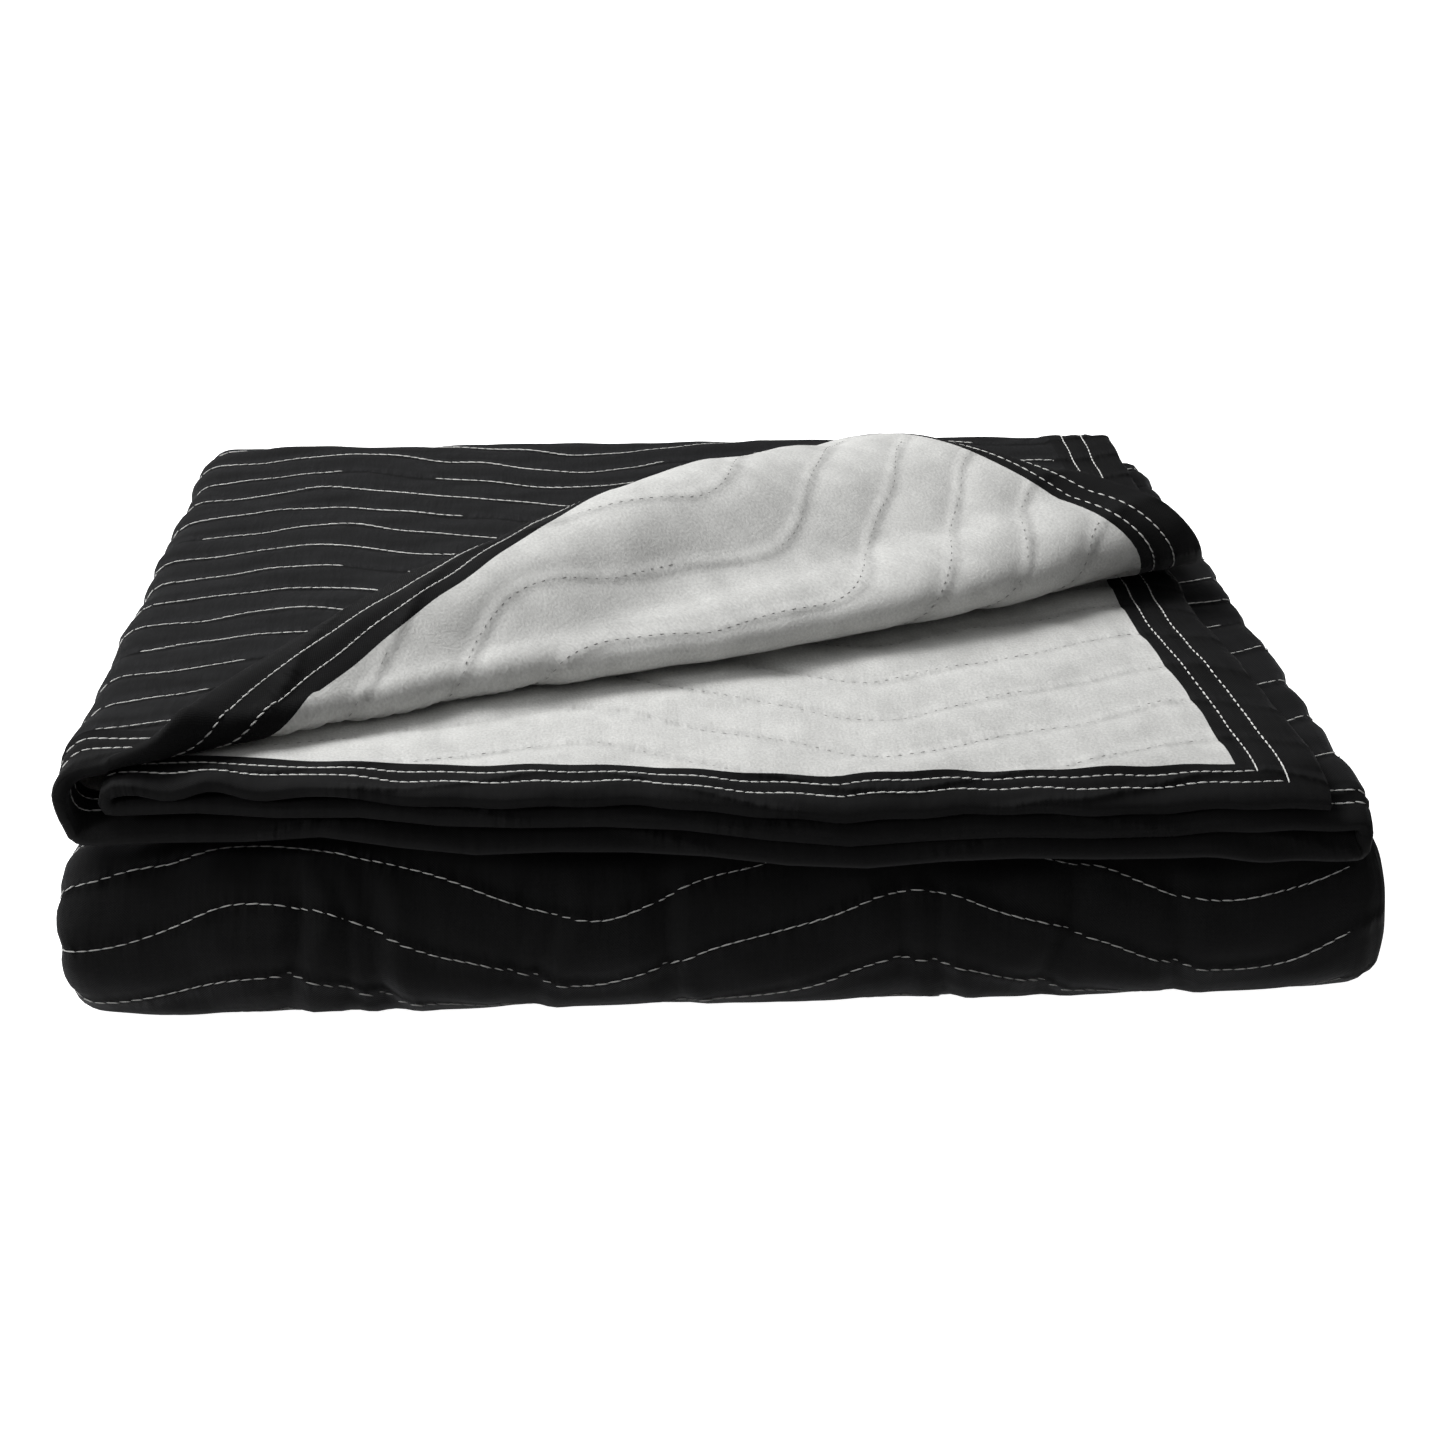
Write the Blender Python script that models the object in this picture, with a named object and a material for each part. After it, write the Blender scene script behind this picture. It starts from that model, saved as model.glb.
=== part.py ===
"""Folded moving blanket: one quilted cloth with a bound hem, folded to sixteen layers.

The cloth is laid out flat in its own coordinates, u along its long side and v along its
short side. A fold map then carries every point to its place: u runs back and forth through
the four layers of a folded strip, and v carries that strip back and forth through four
panels. The front right corner of the top layer is turned back in a roll.

Frame: origin at the bottom centre, +X right, +Y back, +Z up, metres.
"""

import math

import bmesh
import bpy
import numpy as np

# Half the cloth's thickness, between quilting lines, on them, and at the free edge
CREST = 0.0029
VALLEY = 0.0019
RIM = 0.0021

CLOTH_RGB = (0.012, 0.012, 0.0125, 1.0)

# Layers of the strip
LAYER = 0.0070
STRIP = 0.0278
FIRST_MID = 0.0134

# The strip's section, across the blanket
RIGHT_HEM = 0.226
RIGHT_TURN = 0.196
LEFT_FOLD = -0.237
LEFT_BULGE = 0.0115
RIGHT_FOLD = 0.240
RIGHT_BULGE = 0.0036
INNER_LEFT = -0.228
INNER_RIGHT_HEM = 0.219

# In the lower panels the outer layer's free hem wraps round the strip's right end
WRAP_TURN = 0.247
WRAP_OUT = 0.0085
LOWER_RIGHT_FOLD = 0.236

# The panels, from the front hem over the back and round to the hidden end
FRONT = -0.215
BACK = 0.195
BACK_BULGE = 0.032
NOSE = -0.203
NOSE_RADIUS = 0.022
NOSE_SETTLE = 0.085
LOWER_SLACK = 0.030
INNER_BACK = 0.176
HIDDEN_END = -0.108

# Quilting and hem
WAVE = 0.247
WAVE_HIGH = 0.0190
WAVE_SHIFT = 0.155
FIRST_LINE = 0.036
LINES_APART = 0.0295
HEM = 0.032

# How the front bulge's lower corners lift
CORNER_FROM = 0.195
CORNER_LONG = 0.070
CORNER_LIFT = 0.008

# The turned back corner
APEX = (-0.232, -0.209)
FOLD_ANGLE = math.radians(27.0)
ROLL_START = 0.0038
ROLL_OPEN = 0.0065
ROLL_GROWS = 0.0152
ROLL_POWER = 1.7
ROLL_LONG = 0.5
FLAP_AT = (0.0, 0.06, 0.10, 0.15, 0.21, 0.25, 0.31, 0.38, 0.44)
FLAP_HEM = (0.008, 0.013, 0.021, 0.029, 0.027, 0.018, 0.010, 0.008, 0.010)
FLAP_BOW = (0.0, 0.003, 0.006, 0.011, 0.022, 0.032, 0.036, 0.029, 0.027)
BELLY = (0.0, 0.0, 0.0, 0.002, 0.010, 0.018, 0.023, 0.026, 0.018)
FLAP_PEAK = (1.15, 0.95)

# How the front hems of the strip's four layers reach out and hang, from the lowest layer
LEVELS = (-1.5, -0.5, 0.5, 1.5)
REACH = (0.027, 0.025, 0.023, 0.000)
REACH_AT_HEM = (0.036, 0.036, 0.036, 0.000)
HANG = (0.0110, 0.0112, 0.0108, 0.0020)
HANG_FROM = -0.208
HANG_LONG = 0.034
LOWEST_DROOP = 0.0070
STACK_AT = (-0.20, -0.12, -0.075, -0.03, 0.0, 0.045, 0.09, 0.25)
STACK_REACH = (1.0, 0.82, 0.79, 0.77, 0.93, 1.08, 1.0, 1.0)

CENTRE = (0.00370, -0.00153)


def smooth(t):
    t = np.clip(t, 0.0, 1.0)
    return t * t * (3.0 - 2.0 * t)


def arc(centre, across, high, start, end, steps, power=2.0):
    """Points on a squarish arc round a centre, without its two ends."""
    a = np.radians(start + (end - start) * np.arange(1, steps) / steps)
    c, s = np.cos(a), np.sin(a)
    c = np.sign(c) * np.abs(c) ** (2.0 / power)
    s = np.sign(s) * np.abs(s) ** (2.0 / power)
    return np.stack([centre[0] + across * c, centre[1] + high * s], 1)


def line(start, end, steps):
    t = np.linspace(0.0, 1.0, steps + 1)[:, None]
    return np.array(start) * (1.0 - t) + np.array(end) * t


def measured(points, *others):
    """Rows of (distance along, then the coordinates) for a line and others matched to it."""
    steps = np.linalg.norm(np.diff(points, axis=0), axis=1)
    far = np.concatenate([[0.0], np.cumsum(steps)])
    keep = np.concatenate([[True], steps > 1e-9])
    return np.column_stack([far, points, *others])[keep]


def section(hem, turn, wrap, right_fold):
    """The strip's section as (x, height) points, from the outer layer's free hem on."""
    top, up, down, low = 1.5 * LAYER, 0.5 * LAYER, -0.5 * LAYER, -1.5 * LAYER
    end = line((hem, top), (turn, top), 20)
    if wrap:
        a = np.radians(np.linspace(-62.0, 90.0, 21))
        end = np.stack([turn + wrap * np.cos(a), top * np.sin(a)], 1)
    return np.concatenate([
        end,
        line((turn, top), (LEFT_FOLD, top), 60)[1:],
        arc((LEFT_FOLD, 0.0), LEFT_BULGE, top, 90, 270, 48, 2.2),
        line((LEFT_FOLD, low), (right_fold, low), 60),
        arc((right_fold, -LAYER), RIGHT_BULGE, 0.5 * LAYER, -90, 90, 32),
        line((right_fold, down), (INNER_LEFT, down), 60),
        arc((INNER_LEFT, 0.0), RIGHT_BULGE, 0.5 * LAYER, 270, 90, 32),
        line((INNER_LEFT, up), (INNER_RIGHT_HEM, up), 60),
    ])


def path():
    """The strip's middle as (y, z) points, from the front hem to the hidden end."""
    bottom, third, fourth, top = [FIRST_MID + STRIP * k for k in range(4)]
    centre = 0.5 * (bottom + top)
    nose = bottom + NOSE_RADIUS
    return np.concatenate([
        line((FRONT, top), (BACK, top), 80),
        arc((BACK, centre), BACK_BULGE, 0.5 * (top - bottom), 90, -90, 80, 2.5),
        line((BACK, bottom), (NOSE, bottom), 80),
        arc((NOSE, nose), NOSE_RADIUS, NOSE_RADIUS, 270, 90, 60, 2.15),
        line((NOSE, nose + NOSE_RADIUS), (NOSE + NOSE_SETTLE, third), 24),
        line((NOSE + NOSE_SETTLE, third), (INNER_BACK, third), 40)[1:],
        arc((INNER_BACK, centre), 0.5 * STRIP, 0.5 * STRIP, -90, 90, 40),
        line((INNER_BACK, fourth), (HIDDEN_END, fourth), 40),
    ])


SECTION = measured(
    section(RIGHT_HEM, RIGHT_TURN, 0.0, RIGHT_FOLD),
    section(WRAP_TURN + 0.010, WRAP_TURN, 0.0, LOWER_RIGHT_FOLD),
    section(0.0, WRAP_TURN, WRAP_OUT, LOWER_RIGHT_FOLD),
)
PATH = measured(path())
TOP_LONG = RIGHT_HEM - LEFT_FOLD
PANEL_LONG = BACK - FRONT
LOWER_WIDER = (WRAP_TURN - LEFT_FOLD) / (RIGHT_TURN - LEFT_FOLD) - 1.0
U_LONG = float(SECTION[-1, 0])


def along(table, far, first=1):
    """Two coordinates of a measured line at some distances."""
    at = table[:, 0]
    return np.interp(far, at, table[:, first]), np.interp(far, at, table[:, first + 1])


def upward(far):
    """The strip's middle at some distances along its path, and its upward direction there."""
    y, z = along(PATH, far)
    ya, za = along(PATH, np.clip(far - 0.002, 0.0, PATH[-1, 0]))
    yb, zb = along(PATH, np.clip(far + 0.002, 0.0, PATH[-1, 0]))
    long = np.hypot(yb - ya, zb - za)
    return y, z, -(zb - za) / long, (yb - ya) / long


def place_of(table, column, value, after):
    """The first distance past one place where a column of the table passes a value."""
    rows = table[table[:, 0] > after]
    side = np.sign(rows[:, column] - value)
    return float(rows[int(np.argmax(side != side[0])), 0])


LEFT_END = place_of(SECTION, 2, -1.5 * LAYER + 1e-6, TOP_LONG)
RIGHT_START = place_of(SECTION, 1, RIGHT_FOLD - 1e-6, LEFT_END + 0.01)
RIGHT_END = place_of(SECTION, 2, -0.5 * LAYER - 1e-6, RIGHT_START)
INNER_START = place_of(SECTION, 1, INNER_LEFT + 1e-6, RIGHT_END + 0.01)
INNER_END = place_of(SECTION, 2, 0.5 * LAYER - 1e-6, INNER_START)
PATH_BACK_END = place_of(PATH, 2, FIRST_MID + 1e-6, PANEL_LONG)
PATH_NOSE_START = place_of(PATH, 1, NOSE + 1e-6, PATH_BACK_END + 0.01)
PATH_NOSE_END = place_of(PATH, 1, NOSE - 1e-6, PATH_NOSE_START + 0.02)
PATH_SETTLED = place_of(PATH, 1, NOSE + NOSE_SETTLE - 1e-6, PATH_NOSE_END + 0.001)
PATH_INNER_BACK = place_of(PATH, 1, INNER_BACK - 1e-6, PATH_NOSE_END)
PATH_INNER_END = place_of(PATH, 1, INNER_BACK + 1e-6, PATH_INNER_BACK + 0.01)


def outer_lengths():
    """The flat cloth's v for each row of the path, as the outer layer measures it."""
    y, z, ny, nz = upward(PATH[:, 0])
    outer = np.stack([y + 0.0125 * ny, z + 0.0125 * nz], 1)
    steps = np.linalg.norm(np.diff(outer, axis=0), axis=1)
    mid = 0.5 * (PATH[1:, 0] + PATH[:-1, 0])
    under = (mid > PATH_BACK_END) & (mid < PATH_NOSE_START)
    steps = np.where(under, steps * (1.0 + LOWER_SLACK), steps)
    return np.concatenate([[0.0], np.cumsum(steps)])


OUTER = outer_lengths()
V_LONG = float(OUTER[-1])


def flat_place(far):
    return float(np.interp(far, PATH[:, 0], OUTER))


BACK_END = flat_place(PATH_BACK_END)
NOSE_START = flat_place(PATH_NOSE_START)
NOSE_END = flat_place(PATH_NOSE_END)
SETTLED = flat_place(PATH_SETTLED)
INNER_BACK_AT = flat_place(PATH_INNER_BACK)
INNER_BACK_END = flat_place(PATH_INNER_END)


def roll_radius(far):
    opened = ROLL_OPEN * (1.0 - smooth(far / 0.06))
    return ROLL_START + opened + ROLL_GROWS * np.clip(far / ROLL_LONG, 0.0, 1.2) ** ROLL_POWER


def turned(x, y):
    """How the front right corner of the top layer lies: x, y and height above the layer."""
    ax, ay = x - APEX[0], y - APEX[1]
    c, s = math.cos(FOLD_ANGLE), math.sin(FOLD_ANGLE)
    along_fold, past = ax * c + ay * s, ax * s - ay * c
    on = (past > 0.0) & (along_fold > 0.0)
    e = np.where(on, along_fold, 1.0)
    d = np.where(on, past, 0.0)
    r = roll_radius(e)
    belly = np.interp(e, FLAP_AT, BELLY)
    round_it = math.pi * r + 0.9 * belly
    angle = np.minimum(d / round_it, 1.0) * math.pi
    far = np.maximum(d - round_it, 0.0)
    front = (APEX[1] - FRONT + e * s) / c
    right = (RIGHT_HEM - APEX[0] - e * c) / s
    whole = np.maximum(0.02, np.minimum(front, right) - round_it)
    q = np.clip(far / whole, 0.0, 1.0)
    room = smooth(whole / 0.13)
    rise = (np.interp(e, FLAP_AT, FLAP_HEM) - 2.0 * r) * np.where(e < 0.3, 1.0, room)
    peak = 1.0 + (FLAP_PEAK[0] - 1.0) * smooth((e - 0.15) / 0.10)
    peak = peak + (FLAP_PEAK[1] - FLAP_PEAK[0]) * smooth((e - 0.32) / 0.10)
    bow = np.interp(e, FLAP_AT, FLAP_BOW) * np.where(e < 0.3, 1.0, room)
    bow = bow * np.sin(math.pi * q ** peak) ** 1.2
    slope = np.sqrt(np.clip(1.0 - (rise / whole) ** 2, 0.4, 1.0))
    rolled = far <= 0.0
    slack = (whole + 0.9 * belly) / whole
    out = np.where(rolled, (r + belly) * np.sin(angle), -far * slope * slack)
    high = np.where(rolled, r * (1.0 - np.cos(angle)), 2.0 * r + rise * q ** peak + bow)
    tx = APEX[0] + e * c + out * s
    ty = APEX[1] + e * s - out * c
    return np.where(on, tx, x), np.where(on, ty, y), np.where(on, high, 0.0)


def section_at(u, v):
    """The strip's section for points of the flat cloth: across, and height in the strip."""
    x1, n1 = along(SECTION, u)
    x2, n2 = along(SECTION, u, 3)
    x3, n3 = along(SECTION, u, 5)
    spread = smooth((v - PATH_BACK_END) / 0.12)
    wrap = smooth((v - PATH_BACK_END - 0.10) / 0.16)
    x = x1 + (x2 - x1) * spread + (x3 - x2) * wrap
    return x, n1 + (n3 - n1) * wrap


def front_edge(x, y, v, level):
    """How far the front hems of the first panel reach out and how far they hang."""
    side = 0.30 + 0.70 * smooth((x + 0.215) / 0.16)
    out = np.interp(level, LEVELS, REACH)
    at_hem = np.interp(level, LEVELS, REACH_AT_HEM)
    t = np.clip(v / HEM, 0.0, 1.0)
    reach = out + (at_hem - out) * t
    reach = reach * (1.0 - smooth((v - HEM) / 0.14)) * side * np.interp(x, STACK_AT, STACK_REACH)
    y = y - reach
    depth = np.maximum(0.0, HANG_FROM - y) / HANG_LONG
    ripple = 0.0013 * (1.0 + np.sin(x * 128.0)) * smooth((0.02 - x) / 0.05)
    ripple = np.where((level < -0.6) & (x < 0.02), ripple, 0.0)
    heavy = 0.55 + 0.45 * smooth((x + 0.10) / 0.20)
    lowest = smooth((-0.9 - level) / 0.4)
    heavy = heavy * side + (1.0 - heavy * side) * lowest * 0.8
    droop = LOWEST_DROOP * lowest * (smooth((-0.155 - x) / 0.03) + 0.6 * smooth((x - 0.17) / 0.04))
    hang = (np.interp(level, LEVELS, HANG) * heavy + droop + ripple) * depth ** 2
    return y, hang


def middle(u, v):
    """Where the middle of the cloth lies for points of the flat cloth."""
    u = np.asarray(u, float)
    v = np.interp(v, OUTER, PATH[:, 0])
    x, n = section_at(u, v)
    y, z, ny, nz = upward(v)
    level = n / LAYER
    first = v < PANEL_LONG
    ey, hang = front_edge(x, y, v, level)
    y, hang = np.where(first, ey, y), np.where(first, hang, 0.0)
    second = np.interp(level, LEVELS, (0.0, 0.0, 1.0, 0.0)) * first
    x = x + second * 0.010 * smooth((x - 0.08) / 0.13) * smooth((-y - 0.02) / 0.20)
    tx, ty, lift = turned(x, y)
    top = first & (u < TOP_LONG)
    x, y, lift = np.where(top, tx, x), np.where(top, ty, y), np.where(top, lift, 0.0)
    tip = smooth((x - 0.15) / 0.07) * smooth((y - 0.11) / 0.07)
    lift = lift + np.where(top, 0.0045 * tip, 0.0)
    px, py, pz = x, y + n * ny, z + n * nz + lift - hang
    corner = smooth((np.abs(px - CENTRE[0]) - CORNER_FROM) / CORNER_LONG) ** 2
    corner = corner * smooth((-0.190 - py) / 0.045) * (1.0 - smooth((pz - 0.005) / 0.095))
    pz = pz + np.where(first, 0.0, CORNER_LIFT * corner)
    share = np.clip(pz / 0.09, 0.0, 1.0)
    px = px * (1.0 + 0.012 * (-py / 0.23))
    pz = pz + share * 0.0011 * np.sin(9.0 * px + 1.0) * np.cos(7.0 * py)
    return np.stack([px - CENTRE[0], py - CENTRE[1], pz], -1)


def facing(u, v, e=0.0006):
    """The cloth's direction of its felt side, and its directions along u and v."""
    du = middle(np.minimum(u + e, U_LONG), v) - middle(np.maximum(u - e, 0.0), v)
    dv = middle(u, np.minimum(v + e, V_LONG)) - middle(u, np.maximum(v - e, 0.0))
    n = np.cross(du, dv)
    return n / np.linalg.norm(n, axis=-1, keepdims=True), du, dv


def pattern_u(u, v):
    """Where a point lies across the quilting pattern; the lower panels' cloth lies wider."""
    spread = smooth((np.interp(v, OUTER, PATH[:, 0]) - PATH_BACK_END) / 0.12)
    wider = TOP_LONG - (TOP_LONG - u) * (1.0 + LOWER_WIDER * spread)
    return np.where(np.asarray(u) < TOP_LONG, wider, u)


def wave(u, v):
    """How far the quilting lines swing from straight, along v, near a place along v."""
    a = 2.0 * math.pi * (pattern_u(u, v) + WAVE_SHIFT) / WAVE
    return WAVE_HIGH * 0.9 * (np.sin(a) - np.sin(3.0 * a) / 9.0)


def evenly(a, b, count):
    """Stations after a, up to b."""
    return [a + (b - a) * k / count for k in range(1, count + 1)]


def columns():
    """The stations along u, close together where the layer shows."""
    found = [0.0, 0.010, 0.021, HEM]
    found += evenly(HEM, TOP_LONG, 13)
    found += evenly(TOP_LONG, LEFT_END, 5)
    found += evenly(LEFT_END, RIGHT_START, 4)
    found += evenly(RIGHT_START, RIGHT_END, 3)
    found += evenly(RIGHT_END, INNER_START, 4)
    found += evenly(INNER_START, INNER_END, 3)
    found += evenly(INNER_END, U_LONG - HEM, 7)
    return found + [U_LONG - 0.015, U_LONG]


def rows():
    """The stations along v as (place, half thickness, share of the wave)."""
    step = 0.5 * LINES_APART
    found = [(0.0, RIM, 0.0), (0.015, CREST, 0.0), (HEM, VALLEY, 0.0)]
    place, k = FIRST_LINE + step, 1
    while place < BACK_END + 0.010:
        share = smooth((place - HEM) / 0.05) * smooth((BACK_END + 0.008 - place) / 0.05)
        found.append((place, CREST if k % 2 else VALLEY, share))
        place, k = place + step, k + 1
    start = FIRST_LINE + LINES_APART * math.ceil((NOSE_START - 0.012 - FIRST_LINE) / LINES_APART)
    found += [(BACK_END + far, CREST, 0.0) for far in (0.030, 0.100, 0.180, 0.265)]
    found.append((start - step, CREST, 0.0))
    for k in range(9):
        place = start + step * k
        share = smooth((k + 1) / 3.0) * smooth((NOSE_END - place) / 0.045)
        if place < NOSE_END - 0.006:
            found.append((place, CREST if k % 2 else VALLEY, share))
    found += [(NOSE_END, CREST, 0.0), (SETTLED, CREST, 0.0)] + [(v, CREST, 0.0) for v in evenly(SETTLED, INNER_BACK_AT, 1)]
    found += [(v, CREST, 0.0) for v in evenly(INNER_BACK_AT, INNER_BACK_END, 5)]
    found += [(v, CREST, 0.0) for v in evenly(INNER_BACK_END, V_LONG - HEM, 1)]
    return found + [(V_LONG - 0.015, CREST, 0.0), (V_LONG, RIM, 0.0)]


def roll_cuts(count=6):
    """Lines on the flat cloth that run along the roll: two (u, v) points each."""
    c, s = math.cos(FOLD_ANGLE), math.sin(FOLD_ANGLE)
    found = []
    for k in range(count + 1):
        ends = []
        for far in (0.06, ROLL_LONG):
            past = math.pi * k / count * float(roll_radius(far))
            x, y = APEX[0] + far * c + past * s, APEX[1] + far * s - past * c
            ends.append((RIGHT_HEM - x, y - FRONT))
        found.append(ends)
    return found


def flat_cloth():
    """The flat cloth as a mesh of (u, v, half thickness) points, cut along the roll's lines."""
    bm = bmesh.new()
    us, vs = columns(), rows()
    grid = []
    for u in us:
        thin = RIM if min(u, U_LONG - u) < 1e-9 else None
        grid.append([bm.verts.new((u, v + float(wave(u, v)) * w, thin or h)) for v, h, w in vs])
    for a, b in zip(grid, grid[1:]):
        for k in range(len(vs) - 1):
            bm.faces.new((a[k], b[k], b[k + 1], a[k + 1]))
    for (u1, v1), (u2, v2) in roll_cuts():
        faces = [
            f for f in bm.faces
            if max(p.co.x for p in f.verts) < TOP_LONG - 0.001
            and max(p.co.y for p in f.verts) < PANEL_LONG
        ]
        geometry = faces + list({e for f in faces for e in f.edges})
        geometry += list({p for f in faces for p in f.verts})
        bmesh.ops.bisect_plane(
            bm, geom=geometry, dist=0.0012,
            plane_co=(u1, v1, 0.0), plane_no=(v2 - v1, u1 - u2, 0.0),
        )
    bmesh.ops.triangulate(bm, faces=bm.faces[:], quad_method="BEAUTY", ngon_method="BEAUTY")
    bm.verts.index_update()
    return bm


def closed_cloth(bm):
    """The cloth as one closed body: its felt side, its woven side and the rims between them."""
    flat = np.array([tuple(p.co) for p in bm.verts])
    u, v, half = flat[:, 0], flat[:, 1], flat[:, 2:3]
    corner = np.hypot(RIGHT_HEM - u - APEX[0], v + FRONT - APEX[1])[:, None]
    half = half * (0.25 + 0.75 * smooth((corner - 0.014) / 0.035))
    place, (out, _, _) = middle(u, v), facing(u, v)
    felt, woven = place + out * half, place - out * half
    resting = (v > BACK_END) & (v < NOSE_START) & (u > 0.028) & (u < TOP_LONG)
    woven[:, 2] = np.where(resting, 0.0, np.maximum(woven[:, 2], 0.0))
    count, faces = len(flat), []
    for f in bm.faces:
        ids = [p.index for p in f.verts]
        faces.append(ids)
        faces.append([i + count for i in reversed(ids)])
    for e in bm.edges:
        if len(e.link_faces) == 1:
            ids = [p.index for p in e.link_faces[0].verts]
            a, b = e.verts[0].index, e.verts[1].index
            if ids[(ids.index(a) + 1) % 3] != b:
                a, b = b, a
            faces.append([b, a, a + count])
            faces.append([b, a + count, b + count])
    return np.concatenate([felt, woven]), faces


def material(name, rgba, rough):
    m = bpy.data.materials.new(name)
    m.use_nodes = True
    shader = m.node_tree.nodes["Principled BSDF"]
    shader.inputs["Base Color"].default_value = rgba
    shader.inputs["Roughness"].default_value = rough
    m.diffuse_color = rgba
    return m


def build():
    for o in list(bpy.data.objects):
        bpy.data.objects.remove(o, do_unlink=True)
    bm = flat_cloth()
    points, faces = closed_cloth(bm)
    bm.free()
    mesh = bpy.data.meshes.new("blanket")
    mesh.from_pydata(points.tolist(), [], faces)
    mesh.update()
    cloth = bpy.data.objects.new("blanket", mesh)
    cloth.data.materials.append(material("black_cotton", CLOTH_RGB, 0.95))
    bpy.context.scene.collection.objects.link(cloth)


build()
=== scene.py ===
"""Folded moving blanket: its looks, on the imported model's frame.

A quilted blanket, black woven cloth on one face and pale felt on the other, lies folded in
sixteen layers with the front right corner of its top layer turned back. The cloth is laid
out flat in its own coordinates, u along its long side and v along its short side. A fold
map carries every point of it, and every stitch, to its place in the stack.
"""

import math

import bpy
import numpy as np
from mathutils import Matrix, Vector


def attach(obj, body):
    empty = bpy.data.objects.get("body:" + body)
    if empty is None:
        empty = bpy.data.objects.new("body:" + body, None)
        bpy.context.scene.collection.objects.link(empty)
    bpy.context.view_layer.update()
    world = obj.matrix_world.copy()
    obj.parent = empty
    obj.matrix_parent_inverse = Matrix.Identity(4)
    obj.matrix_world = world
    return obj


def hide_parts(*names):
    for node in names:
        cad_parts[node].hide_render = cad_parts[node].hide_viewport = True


bl_info = {
    "name": "Folded moving blanket",
    "version": (1, 0, 0),
    "blender": (4, 5, 0),
    "location": "View3D > Sidebar > Blanket",
    "description": "Builds a folded quilted moving blanket with stitched quilting and hems",
    "category": "Object",
}

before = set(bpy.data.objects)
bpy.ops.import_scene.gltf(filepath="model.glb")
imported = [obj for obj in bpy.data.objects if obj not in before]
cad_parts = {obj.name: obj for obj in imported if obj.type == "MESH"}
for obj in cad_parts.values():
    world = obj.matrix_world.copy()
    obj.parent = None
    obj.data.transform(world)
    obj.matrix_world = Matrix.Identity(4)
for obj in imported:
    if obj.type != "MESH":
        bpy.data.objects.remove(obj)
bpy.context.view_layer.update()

# Layers of the strip
LAYER = 0.0070
STRIP = 0.0278
FIRST_MID = 0.0134

# The strip's section, across the blanket
RIGHT_HEM = 0.226
RIGHT_TURN = 0.196
LEFT_FOLD = -0.237
LEFT_BULGE = 0.0115
RIGHT_FOLD = 0.240
RIGHT_BULGE = 0.0036
INNER_LEFT = -0.228
INNER_RIGHT_HEM = 0.219

# In the lower panels the outer layer's free hem wraps round the strip's right end
WRAP_TURN = 0.247
WRAP_OUT = 0.0085
LOWER_RIGHT_FOLD = 0.236
SPREAD_LONG = 0.12
WRAP_AFTER = 0.10
WRAP_LONG = 0.16
WRAPPED = 0.028

# The panels, from the front hem over the back and round to the hidden end
FRONT = -0.215
BACK = 0.195
BACK_BULGE = 0.032
NOSE = -0.203
NOSE_RADIUS = 0.022
NOSE_SETTLE = 0.085
LOWER_SLACK = 0.030
INNER_BACK = 0.176
HIDDEN_END = -0.108
OUTER_FACE = 0.0125

# Quilting and hem
WAVE = 0.247
WAVE_HIGH = 0.0190
WAVE_SHIFT = 0.155
FIRST_LINE = 0.036
LINES_APART = 0.0295
HEM = 0.032

# How the front bulge's lower corners lift
CORNER_FROM = 0.195
CORNER_LONG = 0.070
CORNER_LIFT = 0.008

# The turned back corner
APEX = (-0.232, -0.209)
FOLD_ANGLE = math.radians(27.0)
ROLL_START = 0.0038
ROLL_OPEN = 0.0065
ROLL_GROWS = 0.0152
ROLL_POWER = 1.7
ROLL_LONG = 0.5
FLAP_AT = (0.0, 0.06, 0.10, 0.15, 0.21, 0.25, 0.31, 0.38, 0.44)
FLAP_HEM = (0.008, 0.013, 0.021, 0.029, 0.027, 0.018, 0.010, 0.008, 0.010)
FLAP_BOW = (0.0, 0.003, 0.006, 0.011, 0.022, 0.032, 0.036, 0.029, 0.027)
BELLY = (0.0, 0.0, 0.0, 0.002, 0.010, 0.018, 0.023, 0.026, 0.018)
FLAP_PEAK = (1.15, 0.95)

# How the front hems of the strip's four layers reach out and hang, from the lowest layer
LEVELS = (-1.5, -0.5, 0.5, 1.5)
REACH = (0.027, 0.025, 0.023, 0.000)
REACH_AT_HEM = (0.036, 0.036, 0.036, 0.000)
HANG = (0.0110, 0.0112, 0.0108, 0.0020)
HANG_FROM = -0.208
HANG_LONG = 0.034
LOWEST_DROOP = 0.0070
STACK_AT = (-0.20, -0.12, -0.075, -0.03, 0.0, 0.045, 0.09, 0.25)
STACK_REACH = (1.0, 0.82, 0.79, 0.77, 0.93, 1.08, 1.0, 1.0)

SECOND_SHIFT = 0.010
TIP_LIFT = 0.0045
RIPPLE_HIGH = 0.0013
RIPPLES = 128.0
CENTRE = (0.00370, -0.00153)

# The cloth's thickness: furrows along the quilting, two rows in the hem, a round edge
HEM_ROWS = (0.0150, 0.0250)
FURROW_WIDE = 0.0055
ROW_WIDE = 0.0022
ROW_DEEP = 0.0008
EDGE_ROUND = 0.0035

# Upright creases in the front bulge: where, how wide, how deep
NOSE_DENTS = (
    (-0.166, 0.0045, 0.0016), (-0.146, 0.0035, 0.0012), (-0.132, 0.0050, 0.0018),
    (-0.078, 0.0040, 0.0010), (-0.070, 0.0045, 0.0016), (-0.019, 0.0040, 0.0012),
    (0.066, 0.0050, 0.0012), (0.084, 0.0040, 0.0014), (0.130, 0.0050, 0.0014),
    (0.173, 0.0045, 0.0014),
)
DENTS_DEEPER = 2.2
DENTS_HIGH = 0.035

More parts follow.
